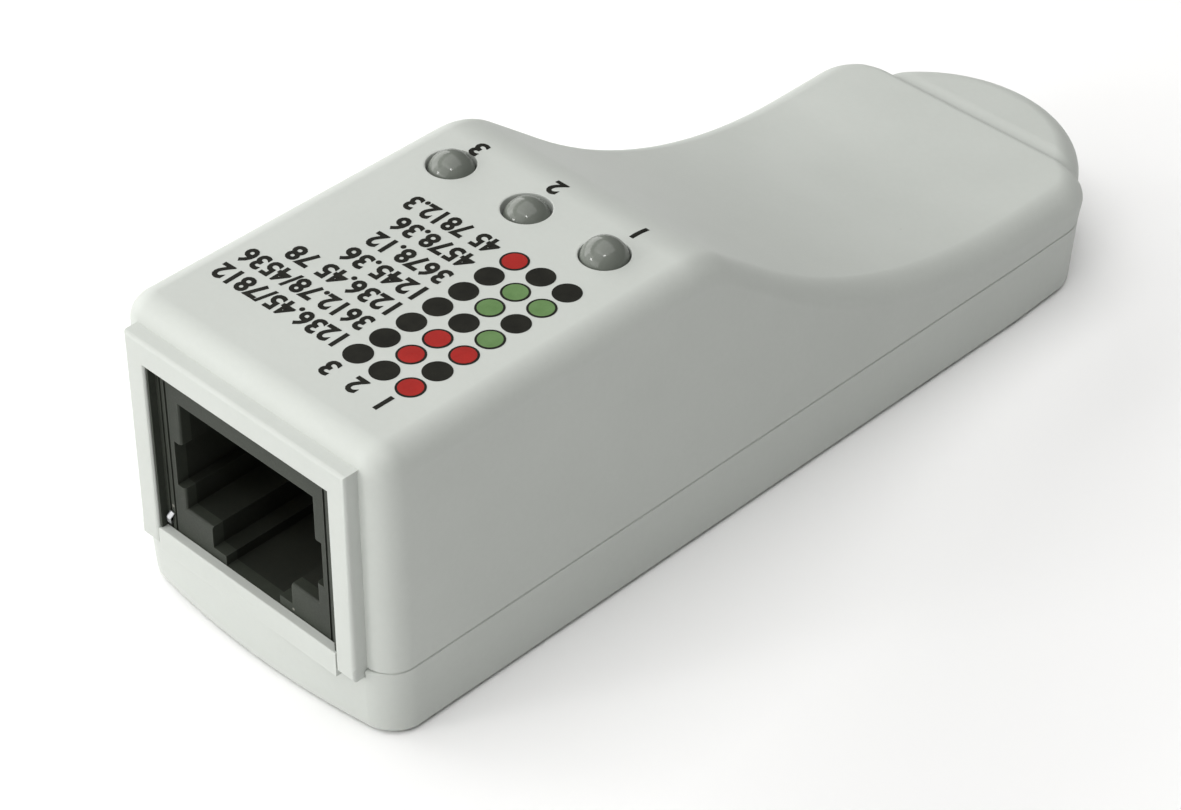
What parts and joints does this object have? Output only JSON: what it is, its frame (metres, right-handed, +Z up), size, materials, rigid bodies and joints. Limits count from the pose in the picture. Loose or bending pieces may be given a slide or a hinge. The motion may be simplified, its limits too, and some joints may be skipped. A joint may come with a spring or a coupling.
{
  "type": "network cable tester",
  "caption": "Pocket network power and cable tester: a modular socket in the front, a row of indicator lights over a printed dot chart, and a slim tail to hold.",
  "frame": {"origin": "bottom centre of the whole object's box, on the plane that it rests on", "axes": "+Z up, -Y out of the socket's face, +Y along the body to the tail, +X to the right seen from the socket's side"},
  "size_m": [0.0232, 0.0736, 0.0226],
  "materials": {
    "shell_top": "fine satin, off-white",
    "shell_bottom": "fine satin, off-white",
    "screw_steel": "zinc plated",
    "board": "green solder mask",
    "socket_plastic": "dark grey moulded",
    "insert_plastic": "black moulded",
    "contact_gold": "gold plated",
    "lens": "diffused grey",
    "tinned": "tinned",
    "chip_black": "moulded black",
    "can_aluminium": "drawn can",
    "plug_rubber": "matt",
    "resistor_black": "glazed",
    "ceramic_tan": "fired ceramic",
    "solder": "solder"
  },
  "bodies": {
    "case": {"top_shell": "shell_top", "bottom_shell": "shell_bottom", "shell_screw": "screw_steel", "circuit_board": "board", "jack_housing": "socket_plastic", "jack_insert": "insert_plastic", "contact_leads": "contact_gold", "led_1_lens": "lens", "led_2_lens": "lens", "led_3_lens": "lens", "led_1_leads": "tinned", "led_2_leads": "tinned", "led_3_leads": "tinned", "rectifier_1": "chip_black", "rectifier_2": "chip_black", "rectifier_pins": "tinned", "controller_chip": "chip_black", "controller_pins": "tinned", "capacitor_can": "can_aluminium", "capacitor_plug": "plug_rubber", "capacitor_leads": "tinned", "surge_diode": "chip_black", "surge_diode_tabs": "tinned", "transistor": "chip_black", "transistor_pins": "tinned", "resistors": "resistor_black", "resistor_caps": "tinned", "ceramic_capacitors": "ceramic_tan", "ceramic_caps": "tinned", "solder_joints": "solder"},
    "contacts": {"contact_springs": "contact_gold"}
  },
  "joints": [
    {"name": "contact_flex", "type": "hinge", "parent": "case", "child": "contacts", "pos_m": [0, -0.0333, 0.01605], "axis": [1, 0, 0], "range_deg": [0, 9], "stiffness_Nm_per_rad": 0.02, "springref_deg": -5.73}
  ]
}
